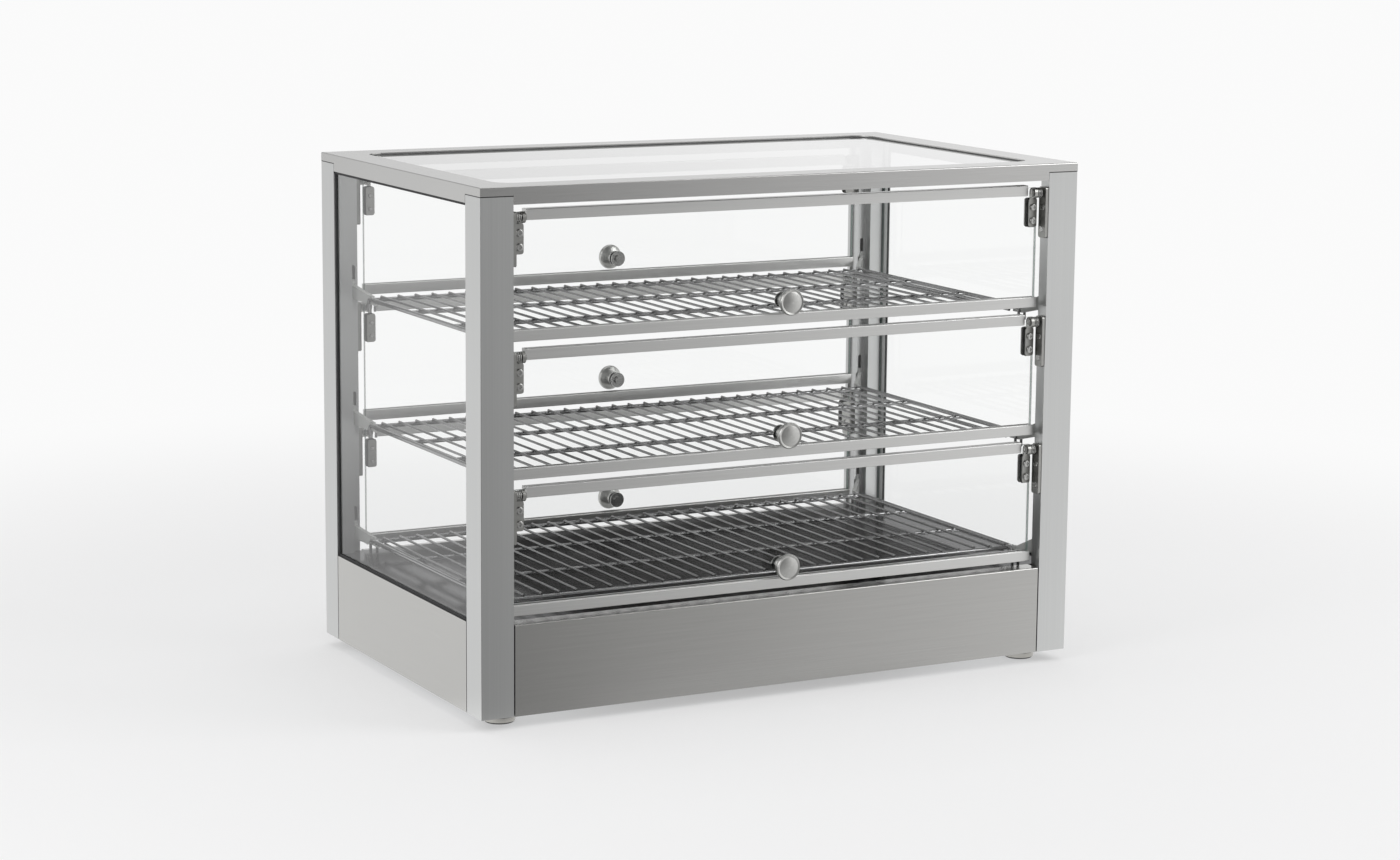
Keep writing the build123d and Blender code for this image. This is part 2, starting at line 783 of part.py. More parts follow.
def make_knob(side_y, top):
    foot_y = door_face + washer_out[1]
    knob_z = top - door_height + knob_rise
    with BuildPart() as knob:
        with BuildSketch(Plane(origin=(0, side_y * foot_y, knob_z), x_dir=(1, 0, 0), z_dir=(0, 0, side_y))):
            with BuildLine():
                Polyline((0, knob_seat), (knob_bolt, knob_seat), (knob_bolt, 0), (8.5, 0))
                ThreePointArc((8.5, 0), (7.9, 1.4), (6, 2))
                ThreePointArc((6, 2), (4.9, 5), (6, 8.5))
                ThreePointArc((6, 8.5), (11, 10.2), (14.2, 12.2))
                ThreePointArc((14.2, 12.2), (knob_head, 15.2), (14.2, 18.2))
                Polyline((14.2, 18.2), (12.2, 17.6), (11.2, 17.9))
                TangentArc((0, 19.3), (11.2, 17.9), tangent=(1, 0))
                Line((0, 19.3), (0, knob_seat))
            make_face()
        revolve(axis=Axis((0, side_y * foot_y, knob_z), (0, side_y, 0)))
    return knob


for side_y in sides:
    for tier, top in door_tops.items():
        door = f"door_{face_names[side_y]}_{tier}"
        save(make_door_glass(side_y, top), f"{door}_glass")
        save(make_door_rails(side_y, top), f"{door}_rails")
        save(make_hinge_clamps(side_y, top), f"{door}_hinge_clamps")
        save(make_door_fasteners(side_y, top), f"{door}_fasteners")
        save(make_knob(side_y, top), f"{door}_knob")

# Heating element: one tube bent back and forth under the floor plate, welded on two carriers
heater_radius = 4.25
heater_z = foot_height + 60.0
heater_reach = 290.0
heater_rows = (-120.0, -40.0, 40.0, 120.0)
heater_bend = 30.0
carrier_x = 170.0
carrier_width = 14.0
carrier_half = 150.0
carrier_weld = 0.3

with BuildPart() as heating_element:
    with BuildLine(Plane.XY.offset(heater_z)) as tube:
        turns = []
        for row, y in enumerate(heater_rows):
            reach = heater_reach if row % 2 else -heater_reach
            turns += [(reach, y), (-reach, y)]
        FilletPolyline(*turns, radius=heater_bend)
    with BuildSketch(Plane(origin=tube.line @ 0, z_dir=tube.line % 0)):
        Circle(heater_radius)
    sweep(path=tube.line)
    carrier_top = heater_z - heater_radius + carrier_weld
    carrier_foot = foot_height + bottom_sheet
    for side_x in sides:
        with BuildSketch(Plane.YZ.offset(side_x * carrier_x - carrier_width / 2)):
            with BuildLine():
                Polyline(
                    (-carrier_half, carrier_foot), (-carrier_half, carrier_top), (carrier_half, carrier_top),
                    (carrier_half, carrier_foot), (carrier_half - sheet, carrier_foot),
                    (carrier_half - sheet, carrier_top - sheet), (sheet - carrier_half, carrier_top - sheet),
                    (sheet - carrier_half, carrier_foot), close=True,
                )
            make_face()
        extrude(amount=carrier_width)
save(heating_element, "heating_element")

# Thermostat: a switch box behind the rear panel, with its threaded bush and shaft through the panel
thermostat_box = (42.0, 36.0)
thermostat_depth = 28.0
thermostat_corner = 3.0
bush_play = 0.2
nut_short = 0.6
shaft_radius = 3.0
shaft_reach = 12.0
bush_reach = 3.0
nut_radius = 6.5
rear_inside = rear_face - sheet

with BuildPart() as thermostat:
    with BuildSketch(Plane.XZ.offset(-(rear_inside - thermostat_depth))):
        with Locations((thermostat_x, control_z)):
            RectangleRounded(*thermostat_box, thermostat_corner)
    extrude(amount=-thermostat_depth)
    with BuildSketch(Plane.XZ.offset(-rear_inside)):
        with Locations((thermostat_x, control_z)):
            Circle(shaft_bush - bush_play)
    extrude(amount=-(sheet + bush_reach))
    with BuildSketch(Plane.XZ.offset(-rear_face)):
        with Locations((thermostat_x, control_z)):
            RegularPolygon(nut_radius, 6)
    extrude(amount=-(bush_reach - nut_short))
    with BuildSketch(Plane.XZ.offset(-rear_face)):
        with Locations((thermostat_x, control_z)):
            Circle(shaft_radius)
    extrude(amount=-shaft_reach)
save(thermostat, "thermostat")

# Thermostat knob: a turned cap with a shallow grip bar and a socket for the shaft
dial_radius = 19.0
dial_height = 15.0
dial_gap = 0.8
socket_depth = 11.6
bar = (7.0, 34.0)
bar_height = 4.0
nut_room = 7.6
nut_room_depth = 3.0
dial_slope = 4
dial_round = 1.2
bar_root = 1.0
bar_corner = 2.0

with BuildPart() as thermostat_knob:
    dial_y = rear_face + dial_gap
    with BuildSketch(Plane.XZ.offset(-dial_y)):
        with Locations((thermostat_x, control_z)):
            Circle(dial_radius)
    extrude(amount=-(dial_height - bar_height), taper=dial_slope)
    crown = thermostat_knob.faces().sort_by(Axis.Y)[-1].edges()
    fillet(crown, dial_round)
    with BuildSketch(Plane.XZ.offset(-(dial_y + dial_height - bar_height - bar_root))):
        with Locations((thermostat_x, control_z)):
            RectangleRounded(*bar, bar_corner)
    extrude(amount=-(bar_height + bar_root))
    with BuildSketch(Plane.XZ.offset(-dial_y)):
        with Locations((thermostat_x, control_z)):
            Circle(shaft_radius + pin_play)
    extrude(amount=-socket_depth, mode=Mode.SUBTRACT)
    with BuildSketch(Plane.XZ.offset(-dial_y)):
        with Locations((thermostat_x, control_z)):
            Circle(nut_room)
    extrude(amount=-nut_room_depth, mode=Mode.SUBTRACT)
save(thermostat_knob, "thermostat_knob")

# Mains switch: a snap-in housing with a rim on the rear panel and a rocker on a cross pin
rim_size = (31.0, 25.0)
rim_height = 2.2
rim_corner = 2.0
rim_round = 0.8
body_size = (27.0, 21.0)
body_depth = 18.0
well_size = (22.0, 16.4)
well_depth = 8.0
rocker_size = (21.0, 15.4)
rocker_axis_y = rear_face - 1.2
rocker_pin = 1.5
pin_seat = 1.0
rocker_rest = 9.0
rocker_crown = 4.6

with BuildPart() as switch_housing:
    with BuildSketch(Plane.XZ.offset(-rear_face)):
        with Locations((switch_x, control_z)):
            RectangleRounded(*rim_size, rim_corner)
    extrude(amount=-rim_height)
    fillet(switch_housing.faces().sort_by(Axis.Y)[-1].edges(), rim_round)
    with BuildSketch(Plane.XZ.offset(-(rear_face - body_depth))):
        with Locations((switch_x, control_z)):
            Rectangle(*body_size)
    extrude(amount=-body_depth)
    with BuildSketch(Plane.XZ.offset(-(rear_face + rim_height - well_depth))):
        with Locations((switch_x, control_z)):
            Rectangle(*well_size)
    extrude(amount=-well_depth, mode=Mode.SUBTRACT)
    with BuildSketch(Plane.YZ.offset(switch_x - well_size[0] / 2 - pin_seat)):
        with Locations((rocker_axis_y, control_z)):
            Circle(rocker_pin)
    extrude(amount=well_size[0] + 2 * pin_seat)
save(switch_housing, "switch_housing")

# Rocker: a shallow vee across the pin, at rest in its off position
rocker_tilt = radians(rocker_rest)
rocker_lip = rocker_crown + 0.9
rocker_dip = rocker_crown - 0.6
rocker_half = rocker_size[1] / 2 - 0.4
rocker_skirt = 0.8
rocker_foot = (-2.6, 3.0)


def rocker_place(out, up):
    """Place on the rocker's side view, turned to rest about its pin."""
    return (
        rocker_axis_y + out * cos(rocker_tilt) - up * sin(rocker_tilt),
        control_z + out * sin(rocker_tilt) + up * cos(rocker_tilt),
    )


with BuildPart() as switch_rocker:
    with BuildSketch(Plane.YZ.offset(switch_x - rocker_size[0] / 2)):
        with BuildLine():
            Polyline(
                rocker_place(rocker_lip, -rocker_half), rocker_place(rocker_dip, 0),
                rocker_place(rocker_lip, rocker_half), rocker_place(rocker_skirt, rocker_half),
                rocker_place(rocker_foot[0], rocker_foot[1]), rocker_place(rocker_foot[0], -rocker_foot[1]),
                rocker_place(rocker_skirt, -rocker_half), close=True,
            )
        make_face()
        with Locations((rocker_axis_y, control_z)):
            Circle(rocker_pin + pin_play, mode=Mode.SUBTRACT)
    extrude(amount=rocker_size[0])
save(switch_rocker, "switch_rocker")

# Cable gland: a hexagon body outside the rear panel, a domed nut, and a lock nut inside, on one bore
gland_bore = 4.0
gland_hex = 12.0
gland_hex_height = 6.0
gland_dome = 10.5
gland_dome_height = 12.0
gland_round = 4.0
gland_tail = 9.0
lock_nut = 5.0
thread_play = 0.1

with BuildPart() as cable_gland:
    with BuildSketch(Plane.XZ.offset(-rear_face)):
        with Locations((gland_x, gland_z)):
            RegularPolygon(gland_hex, 6)
    extrude(amount=-gland_hex_height)
    with BuildSketch(Plane.XZ.offset(-(rear_face + gland_hex_height))):
        with Locations((gland_x, gland_z)):
            Circle(gland_dome)
    extrude(amount=-gland_dome_height)
    fillet(cable_gland.faces().sort_by(Axis.Y)[-1].edges(), gland_round)
    with BuildSketch(Plane.XZ.offset(-(rear_inside - gland_tail))):
        with Locations((gland_x, gland_z)):
            Circle(gland_thread - thread_play)
    extrude(amount=-(gland_tail + sheet))
    with BuildSketch(Plane.XZ.offset(-(rear_inside - lock_nut))):
        with Locations((gland_x, gland_z)):
            RegularPolygon(gland_hex, 6)
    extrude(amount=-lock_nut)
    with BuildSketch(Plane.XZ.offset(-(rear_inside - gland_tail))):
        with Locations((gland_x, gland_z)):
            Circle(gland_bore)
    extrude(amount=-(gland_tail + sheet + gland_hex_height + gland_dome_height), mode=Mode.SUBTRACT)
save(cable_gland, "cable_gland")
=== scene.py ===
import math

import bpy
from mathutils import Matrix, Vector


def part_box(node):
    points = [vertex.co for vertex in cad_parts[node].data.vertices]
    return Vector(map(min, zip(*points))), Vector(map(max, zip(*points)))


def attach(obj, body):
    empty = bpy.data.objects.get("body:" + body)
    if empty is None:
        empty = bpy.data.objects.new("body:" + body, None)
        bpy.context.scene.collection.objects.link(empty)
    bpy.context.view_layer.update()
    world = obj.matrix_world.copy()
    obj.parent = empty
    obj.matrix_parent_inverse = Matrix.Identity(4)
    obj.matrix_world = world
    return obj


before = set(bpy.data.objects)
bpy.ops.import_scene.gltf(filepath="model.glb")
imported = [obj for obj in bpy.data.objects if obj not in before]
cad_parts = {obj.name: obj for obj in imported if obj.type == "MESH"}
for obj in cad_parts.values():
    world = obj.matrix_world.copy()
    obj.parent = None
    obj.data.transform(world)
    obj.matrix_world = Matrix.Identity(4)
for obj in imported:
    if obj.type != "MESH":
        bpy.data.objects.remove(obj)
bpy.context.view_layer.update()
scene = bpy.context.scene

# The camera stands in front of the cabinet's left corner, a little above it, as the photograph was taken.
# Its place and turn were fitted to the cabinet's corners in the photograph, with no lens shift.
PHOTO_WIDTH = 1400
SENSOR_MM = 36
FOCAL_PIXELS = 3278
CAMERA_PLACE = (-1.837, -3.480, 0.969)
CAMERA_YAW = math.radians(27.92)
CAMERA_PITCH = math.radians(-9.97)
CAMERA_ROLL = math.radians(0.51)

ahead = Vector((
    math.sin(CAMERA_YAW) * math.cos(CAMERA_PITCH),
    math.cos(CAMERA_YAW) * math.cos(CAMERA_PITCH),
    math.sin(CAMERA_PITCH),
))
level_right = Vector((math.cos(CAMERA_YAW), -math.sin(CAMERA_YAW), 0))
level_up = level_right.cross(ahead)
right = level_right * math.cos(CAMERA_ROLL) + level_up * math.sin(CAMERA_ROLL)
up = level_up * math.cos(CAMERA_ROLL) - level_right * math.sin(CAMERA_ROLL)
lens = bpy.data.cameras.new("camera")
lens.sensor_width = SENSOR_MM
lens.lens = SENSOR_MM * FOCAL_PIXELS / PHOTO_WIDTH
camera = bpy.data.objects.new("camera", lens)
camera.matrix_world = Matrix((
    (right.x, up.x, -ahead.x, CAMERA_PLACE[0]),
    (right.y, up.y, -ahead.y, CAMERA_PLACE[1]),
    (right.z, up.z, -ahead.z, CAMERA_PLACE[2]),
    (0, 0, 0, 1),
))
scene.collection.objects.link(camera)
scene.camera = camera
scene.view_settings.view_transform = "Standard"

# The studio: a pale floor that takes the cabinet's shadow, in a plain white room. What the steel and glass
# mirror is dark in front, where the studio has no lamps, and white at the sides and behind. ROOM_TONES has
# that tone by the turn in degrees, where 0 is the front, 90 the right side, -90 the left and 180 the back.
FLOOR_SIZE = 16.0
FLOOR_COLOUR = (0.84, 0.84, 0.845, 1)
FLOOR_ROUGH = 0.7
FLOOR_SHINE = 0.15
FLOOR_LIFT = 0.45
FLOOR_SEEN = (0.75, 1.9)
FLOOR_MIRRORED = (0.20, 0.42)
FRONT_EDGE = (-0.20, -0.30)
FAN_CENTRE = (-1.84, 3.01)
ROOM_WHITE = 0.96
ROOM_PLAIN = 0.60
CEILING = (0.24, 0.62)
CEILING_TONE = 0.30
FULL_TONE = 1.5
ROOM_TONES = (
    (-180, 0.70), (-162, 0.64), (-155, 0.93), (-80, 0.90), (-62, 1.15), (-38, 0.42), (-14, 0.36),
    (8, 0.32), (20.5, 0.17), (36.5, 1.05), (110, 1.10), (145, 0.98), (157, 0.80), (180, 0.75),
)
LAMPS = (
    ("key_lamp", (2.2, -1.9, 2.2), (1.6, 1.6), 30),
    ("fill_lamp", (-2.7, -0.6, 1.9), (1.8, 1.8), 22),
    ("overhead_lamp", (0, 0.2, 2.8), (2.4, 1.8), 16),
)
LAMP_AIM = (0, 0, 0.35)


class Paint:
    """A socket of a node tree. Expressions on it add Math nodes, and node() adds any other node."""

    def __init__(self, tree, socket=None):
        self.tree = tree
        self.socket = socket

    def node(self, kind, settings=None, **inputs):
        """Adds a node: its settings first, then each input's value or link. Returns its outputs by name."""
        made = self.tree.nodes.new(kind)
        for key, value in (settings or {}).items():
            if key == "stops":
                ramp = made.color_ramp.elements
                while len(ramp) < len(value):
                    ramp.new(0.5)
                for element, (place, colour) in zip(ramp, value):
                    element.position = place
                    element.color = (*colour, 1)
            else:
                setattr(made, key, value)
        sockets = {socket.identifier.replace(" ", "_"): socket for socket in made.inputs}
        for key, value in inputs.items():
            if isinstance(value, Paint):
                value.feed(sockets[key])
            else:
                sockets[key].default_value = value
        return {output.identifier: Paint(self.tree, output) for output in made.outputs}

    def feed(self, socket):
        """Links this value to a socket."""
        self.tree.links.new(self.socket, socket)

    def apart(self):
        """The X, Y and Z of a place or a direction."""
        return list(self.node("ShaderNodeSeparateXYZ", Vector=self).values())

    def math(self, operation, other=0.0, first=None):
        """A Math node on this value and another, which comes second, or first where it is given so."""
        left, second = (self, other) if first is None else (first, self)
        return self.node("ShaderNodeMath", {"operation": operation}, Value=left, Value_001=second)["Value"]

    def __add__(self, other):
        return self.math("ADD", other)

    def __radd__(self, other):
        return self.math("ADD", first=other)

    def __sub__(self, other):
        return self.math("SUBTRACT", other)

    def __rsub__(self, other):
        return self.math("SUBTRACT", first=other)

    def __mul__(self, other):
        return self.math("MULTIPLY", other)

    def __rmul__(self, other):
        return self.math("MULTIPLY", first=other)

    def __gt__(self, other):
        return self.math("GREATER_THAN", other)

    def __lt__(self, other):
        return self.math("LESS_THAN", other)


def new_finish(name, **fixed):
    """A material with its shader's plain values set. Returns it, its Object coordinates and its shader."""
    material = bpy.data.materials.new(name)
    material.use_nodes = True
    shader = material.node_tree.nodes["Principled BSDF"]
    for key, value in fixed.items():
        shader.inputs[key.replace("_", " ")].default_value = value
    return material, Paint(material.node_tree).node("ShaderNodeTexCoord")["Object"], shader


def mix_shaders(share, first, second):
    """Closes a material with two shaders: the first where share is 0, the second where it is 1."""
    mixed = share.node("ShaderNodeMixShader", Fac=share, Shader=first, Shader_001=second)["Shader"]
    mixed.feed(share.tree.nodes["Material Output"].inputs["Surface"])


def eased(value, start, end, low=0.0, high=1.0):
    """A smooth step of value from low at start to high at end."""
    return value.node("ShaderNodeMapRange", {"interpolation_type": "SMOOTHSTEP"},
                      Value=value, From_Min=start, From_Max=end, To_Min=low, To_Max=high)["Result"]


def mirrored_room(across, back):
    """How bright the room is toward a place on the plan, by its turn from the front, as metal mirrors it.

    The ramp's colours stop at 1, so it holds each tone as a share of FULL_TONE.
    """
    turn = across.math("ARCTAN2", back * -1.0) * (0.5 / math.pi) + 0.5
    stops = [(degrees / 360 + 0.5, (tone / FULL_TONE,) * 3) for degrees, tone in ROOM_TONES]
    ramp = turn.node("ShaderNodeValToRGB", {"stops": stops}, Fac=turn)["Color"]
    return ramp.node("ShaderNodeSeparateColor", Color=ramp)["Red"] * FULL_TONE


def rays(paint):
    """Whether a ray comes from the eye, straight or through glass, and whether it is mirrored, as 1 or 0."""
    light_path = paint.node("ShaderNodeLightPath")
    seen = light_path["Is Camera Ray"].math("MAXIMUM", light_path["Is Transmission Ray"])
    return seen, light_path["Is Glossy Ray"]


# The floor glows white away from the cabinet, so that it meets the room without a line: from a share of
# FLOOR_LIFT under the cabinet, over the distances FLOOR_SEEN, or over FLOOR_MIRRORED where metal mirrors it.
# Past FRONT_EDGE the tones that metal mirrors spread as a fan, from a fixed place behind the cabinet.
bpy.ops.object.select_all(action="DESELECT")
bpy.ops.mesh.primitive_plane_add(size=FLOOR_SIZE)
floor = bpy.context.object
floor.name = "studio_floor"
floor_finish, place, shader = new_finish(
    "pale_floor", Base_Color=FLOOR_COLOUR, Roughness=FLOOR_ROUGH, Specular_IOR_Level=FLOOR_SHINE)
across, back = place.apart()[:2]
seen, glossy = rays(place)
distance = (across * across + back * back).math("SQRT")
front = eased(back, *FRONT_EDGE)
in_front = mirrored_room(across - FAN_CENTRE[0], back - FAN_CENTRE[1])
floor_tone = front * in_front + (1 - front) * mirrored_room(across, back)
glow = place.node("ShaderNodeEmission", Strength=seen * ROOM_WHITE + glossy * floor_tone)["Emission"]
glow_share = seen * eased(distance, *FLOOR_SEEN, FLOOR_LIFT) + glossy * eased(distance, *FLOOR_MIRRORED)
mix_shaders(glow_share, Paint(place.tree, shader.outputs["BSDF"]), glow)
floor.data.materials.append(floor_finish)

world = bpy.data.worlds.new("studio")
world.use_nodes = True
scene.world = world
background = world.node_tree.nodes["Background"]
background.inputs["Color"].default_value = (1, 1, 1, 1)
direction = Paint(world.node_tree).node("ShaderNodeTexCoord")["Generated"]
across, back, height = direction.apart()
seen, glossy = rays(direction)
room_tone = mirrored_room(across, back) * eased(height, *CEILING, 1.0, CEILING_TONE)
plain = (1 - seen.math("MAXIMUM", glossy)) * ROOM_PLAIN
(seen * ROOM_WHITE + (1 - seen) * glossy * room_tone + plain).feed(background.inputs["Strength"])

for name, where, size, power in LAMPS:
    lamp = bpy.data.lights.new(name, "AREA")
    lamp.shape = "RECTANGLE"
    lamp.size, lamp.size_y = size
    lamp.energy = power
    holder = bpy.data.objects.new(name, lamp)
    facing = (Vector(LAMP_AIM) - Vector(where)).to_track_quat("-Z", "Y")
    holder.matrix_world = Matrix.Translation(where) @ facing.to_matrix().to_4x4()
    holder.visible_camera = False
    scene.collection.objects.link(holder)

# Corner posts: aluminium drawn through a die and satin anodised, so faint straight lines run along them.
# A hairline of shadow is painted into the colour at the top of each, where it meets the steel cap above it.
POST_DARK = (0.55, 0.556, 0.552)
POST_LIGHT = (0.66, 0.667, 0.662)
POST_ROUGH = (0.27, 0.37)
POST_LINES = (1100, 1100, 3)
POST_CLOUDS = 6
POST_CLOUD_SHARE = 0.4
POST_RELIEF = 0.08
LINE_DEPTH = 0.0002
CAP_SHADOW_HEIGHT = 0.0011
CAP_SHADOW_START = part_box("post_front_left")[1].z - CAP_SHADOW_HEIGHT
PAINTED_CAP_SHADOW = (0.05, 0.05, 0.05)


def noise(place, scale=1, detail=3, stretch=None):
    """Fine noise on the piece's own coordinates, drawn out along the axis with the smallest stretch."""
    if stretch:
        place = place.node("ShaderNodeMapping", Vector=place, Scale=stretch)["Vector"]
    return place.node("ShaderNodeTexNoise", Vector=place, Scale=scale, Detail=detail)["Fac"]


def between(factor, ends):
    """A number that goes from the first of the two ends to the second with factor."""
    return factor * (ends[1] - ends[0]) + ends[0]


def tones(factor, dark, light):
    """A colour that goes from dark to light with factor."""
    return factor.node("ShaderNodeMix", {"data_type": "RGBA"}, Factor_Float=factor,
                       A_Color=(*dark, 1), B_Color=(*light, 1))["Result_Color"]


def covered(colour, mask, cover):
    """A colour with another plain one over it where mask is 1."""
    return colour.node("ShaderNodeMix", {"data_type": "RGBA"}, Factor_Float=mask,
                       A_Color=colour, B_Color=(*cover, 1))["Result_Color"]


def raised(height, strength, depth):
    """A surface normal raised by height."""
    return height.node("ShaderNodeBump", Strength=strength, Distance=depth, Height=height)["Normal"]


def finish_with(material, *nodes):
    """Puts one material on whole nodes of the frame."""
    for node in nodes:
        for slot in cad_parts[node].material_slots:
            slot.material = material


def nodes_named(start="", end=""):
    """The frame's nodes whose names start and end like this."""
    return [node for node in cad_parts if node.startswith(start) and node.endswith(end)]


finish, place, shader = new_finish("satin_anodised_aluminium", Metallic=1.0)
lines = noise(place, stretch=POST_LINES)
clouds = noise(place, POST_CLOUDS, detail=2)
metal = tones(lines * (1 - POST_CLOUD_SHARE) + clouds * POST_CLOUD_SHARE, POST_DARK, POST_LIGHT)
# Painted shadow: a dark hairline at the top of each post, just below the cap.
covered(metal, place.apart()[2] > CAP_SHADOW_START, PAINTED_CAP_SHADOW).feed(shader.inputs["Base Color"])
between(lines, POST_ROUGH).feed(shader.inputs["Roughness"])
raised(lines, POST_RELIEF, LINE_DEPTH).feed(shader.inputs["Normal"])
finish_with(finish, *nodes_named("post_"))

# Top frame: one stainless sheet, brushed along the cabinet's width, cut out for the pane and folded down.
# The brush marks are short and fine, and the sheet has a slightly warm tone.
FRAME_DARK = (0.46, 0.458, 0.45)
FRAME_LIGHT = (0.60, 0.598, 0.59)
FRAME_MARKS = (18, 1500, 1500)
FRAME_RELIEF = 0.14
BRUSHED_ROUGH = (0.15, 0.25)
BRUSHED_CLOUDS = 4
BRUSHED_CLOUD_SHARE = 0.3


def brushed_steel(name, dark, light, stretch, relief):
    """Stainless sheet with short brush marks along the axis that has the small stretch."""
    finish, place, shader = new_finish(name, Metallic=1.0)
    marks = noise(place, detail=4, stretch=stretch)
    clouds = noise(place, BRUSHED_CLOUDS, detail=2)
    tone = marks * (1 - BRUSHED_CLOUD_SHARE) + clouds * BRUSHED_CLOUD_SHARE
    tones(tone, dark, light).feed(shader.inputs["Base Color"])
    between(marks, BRUSHED_ROUGH).feed(shader.inputs["Roughness"])
    raised(marks, relief, LINE_DEPTH).feed(shader.inputs["Normal"])
    return finish


finish_with(brushed_steel("brushed_frame_steel", FRAME_DARK, FRAME_LIGHT, FRAME_MARKS, FRAME_RELIEF),
            "top_frame")

# Panes: clear float glass with ground edges. The faces mirror a little of the room, more at a glancing
# angle, and the cut edges look dark green, because light runs a long way inside them.
GLASS_TINT = (0.996, 0.998, 0.997, 1)
GLASS_IOR = 1.45
GLASS_ROUGH = 0.02
FACE_SILVER = (0.97, 0.97, 0.97)
EDGE_GREEN = (0.16, 0.22, 0.20)
EDGE_COVER = 0.72
EDGE_FACING = 0.5
OUTER_MIRROR = 1.2
INNER_MIRROR = 0.5
TOP_MIRROR = 1.5


def pane_glass(name, thin_axis, outer_mirror=OUTER_MIRROR):
    """Glass whose big faces look along one axis, 0 for X, 1 for Y, 2 for Z.

    Its edges are the faces that look along it by less than EDGE_FACING. The outward face mirrors more.
    """
    finish, place, shader = new_finish(name, Roughness=GLASS_ROUGH)
    facing = place.node("ShaderNodeTexCoord")["Normal"].apart()[thin_axis]
    outward = facing * place.apart()[thin_axis] > 0.0
    edge = facing.math("ABSOLUTE") < EDGE_FACING
    front = 1 - place.node("ShaderNodeNewGeometry")["Backfacing"]
    fresnel = place.node("ShaderNodeFresnel", IOR=GLASS_IOR)["Fac"]
    mirror = fresnel * front * between(outward, (INNER_MIRROR, outer_mirror))
    tones(edge, FACE_SILVER, EDGE_GREEN).feed(shader.inputs["Base Color"])
    (1 - edge).feed(shader.inputs["Metallic"])
    clear = place.node("ShaderNodeBsdfTransparent", Color=GLASS_TINT)["BSDF"]
    mix_shaders(mirror * (1 - edge) + edge * EDGE_COVER, clear, Paint(place.tree, shader.outputs["BSDF"]))
    return finish


finish_with(pane_glass("side_pane_glass", 0), *nodes_named("side_glass_"))
finish_with(pane_glass("door_pane_glass", 1), *nodes_named("door_", "_glass"))
finish_with(pane_glass("top_pane_glass", 2, TOP_MIRROR), "top_glass")

# Seals: black extruded rubber strips beside the fixed panes, and a dark grey bead of sealant round the top
# pane. In the posts' grooves the strips sit on a pale nylon carrier, which shows through the glass.
SEAL_DARK = (0.012, 0.012, 0.013)
SEAL_LIGHT = (0.030, 0.030, 0.032)
SEAL_ROUGH = (0.5, 0.7)
SEAL_GRAIN = 400
SEAL_SHINE = 0.35
BEAD_GREY = (0.10, 0.10, 0.10)
BEAD_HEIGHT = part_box("side_glass_left")[1].z
CARRIER_PALE = (0.74, 0.75, 0.74)
CARRIER_FACE = 0.3862
CARRIER_START = 0.1957

finish, place, shader = new_finish("black_seal_rubber", Specular_IOR_Level=SEAL_SHINE)
grain = noise(place, SEAL_GRAIN, detail=2)
across, back, height = place.apart()
carrier = (across.math("ABSOLUTE") > CARRIER_FACE) * (back.math("ABSOLUTE") > CARRIER_START)
strip = covered(tones(grain, SEAL_DARK, SEAL_LIGHT), height > BEAD_HEIGHT, BEAD_GREY)
covered(strip, carrier, CARRIER_PALE).feed(shader.inputs["Base Color"])
between(grain, SEAL_ROUGH).feed(shader.inputs["Roughness"])
finish_with(finish, "glass_seals")

# Base panels: brushed stainless sheets folded over at the top, with the brush marks along each panel.
# They stand between the posts with a narrow gap at each end.
BASE_DARK = (0.41, 0.407, 0.395)
BASE_LIGHT = (0.51, 0.507, 0.493)
BASE_MARKS = (12, 1300, 1300)
SIDE_DARK = (0.46, 0.457, 0.442)
SIDE_LIGHT = (0.56, 0.556, 0.54)
SIDE_MARKS = (1300, 12, 1300)
BASE_RELIEF = 0.16

finish_with(brushed_steel("brushed_base_steel", BASE_DARK, BASE_LIGHT, BASE_MARKS, BASE_RELIEF),
            "base_panel_front", "base_panel_rear")
finish_with(brushed_steel("brushed_side_steel", SIDE_DARK, SIDE_LIGHT, SIDE_MARKS, BASE_RELIEF),
            "base_panel_left", "base_panel_right")

# Floor plate: bright annealed steel over the heater, nearly a mirror, a little cloudy from wiping.
# Over the element its colour is painted near black, as painted shade and a painted dark reflection; its ends
# stay bright.
FLOOR_STEEL_DARK = (0.44, 0.44, 0.445)
FLOOR_STEEL_LIGHT = (0.56, 0.56, 0.565)
FLOOR_STEEL_ROUGH = (0.08, 0.16)
FLOOR_EDGE_TINT = (0.32, 0.32, 0.32, 1)
WEAR_SCALE = 18
WIPE_MARKS = (16, 500, 500)
WIPE_SHARE = 0.3
WIPE_ROUGH = 0.05
PAINTED_SHADE_AND_REFLECTION = (0.03, 0.029, 0.028)
PAINTED_DARK_SHARE = (0.8, 1.1)
PAINTED_DARK_ENDS = (0.24, 0.32)
PAINTED_DARK_SIDES = (0.22, 0.24)

finish, place, shader = new_finish("bright_floor_steel", Metallic=1.0, Specular_Tint=FLOOR_EDGE_TINT)
wear_and_shade_grain = noise(place, WEAR_SCALE, detail=4)
wiped = noise(place, stretch=WIPE_MARKS)
across, back = [side.math("ABSOLUTE") for side in place.apart()[:2]]
# Painted shade and dark reflection: the plate's middle, over the element, is darkened almost to black.
painted_dark = eased(across, *PAINTED_DARK_ENDS, 1.0, 0.0) * eased(back, *PAINTED_DARK_SIDES, 1.0, 0.0)
metal = tones(wear_and_shade_grain * (1 - WIPE_SHARE) + wiped * WIPE_SHARE, FLOOR_STEEL_DARK, FLOOR_STEEL_LIGHT)
covered(metal, painted_dark * between(wear_and_shade_grain, PAINTED_DARK_SHARE), PAINTED_SHADE_AND_REFLECTION).feed(shader.inputs["Base Color"])
(between(wear_and_shade_grain, FLOOR_STEEL_ROUGH) + wiped * WIPE_ROUGH).feed(shader.inputs["Roughness"])
finish_with(finish, "floor_plate")

# Bottom plate: plain galvanised sheet, notched round the posts, that closes the base and carries the feet.
# The flat crystals of its zinc show as a dull spangle.
ZINC_DARK = (0.42, 0.43, 0.44)
ZINC_LIGHT = (0.55, 0.56, 0.57)
ZINC_CRYSTALS = 70
ZINC_ROUGH = 0.5

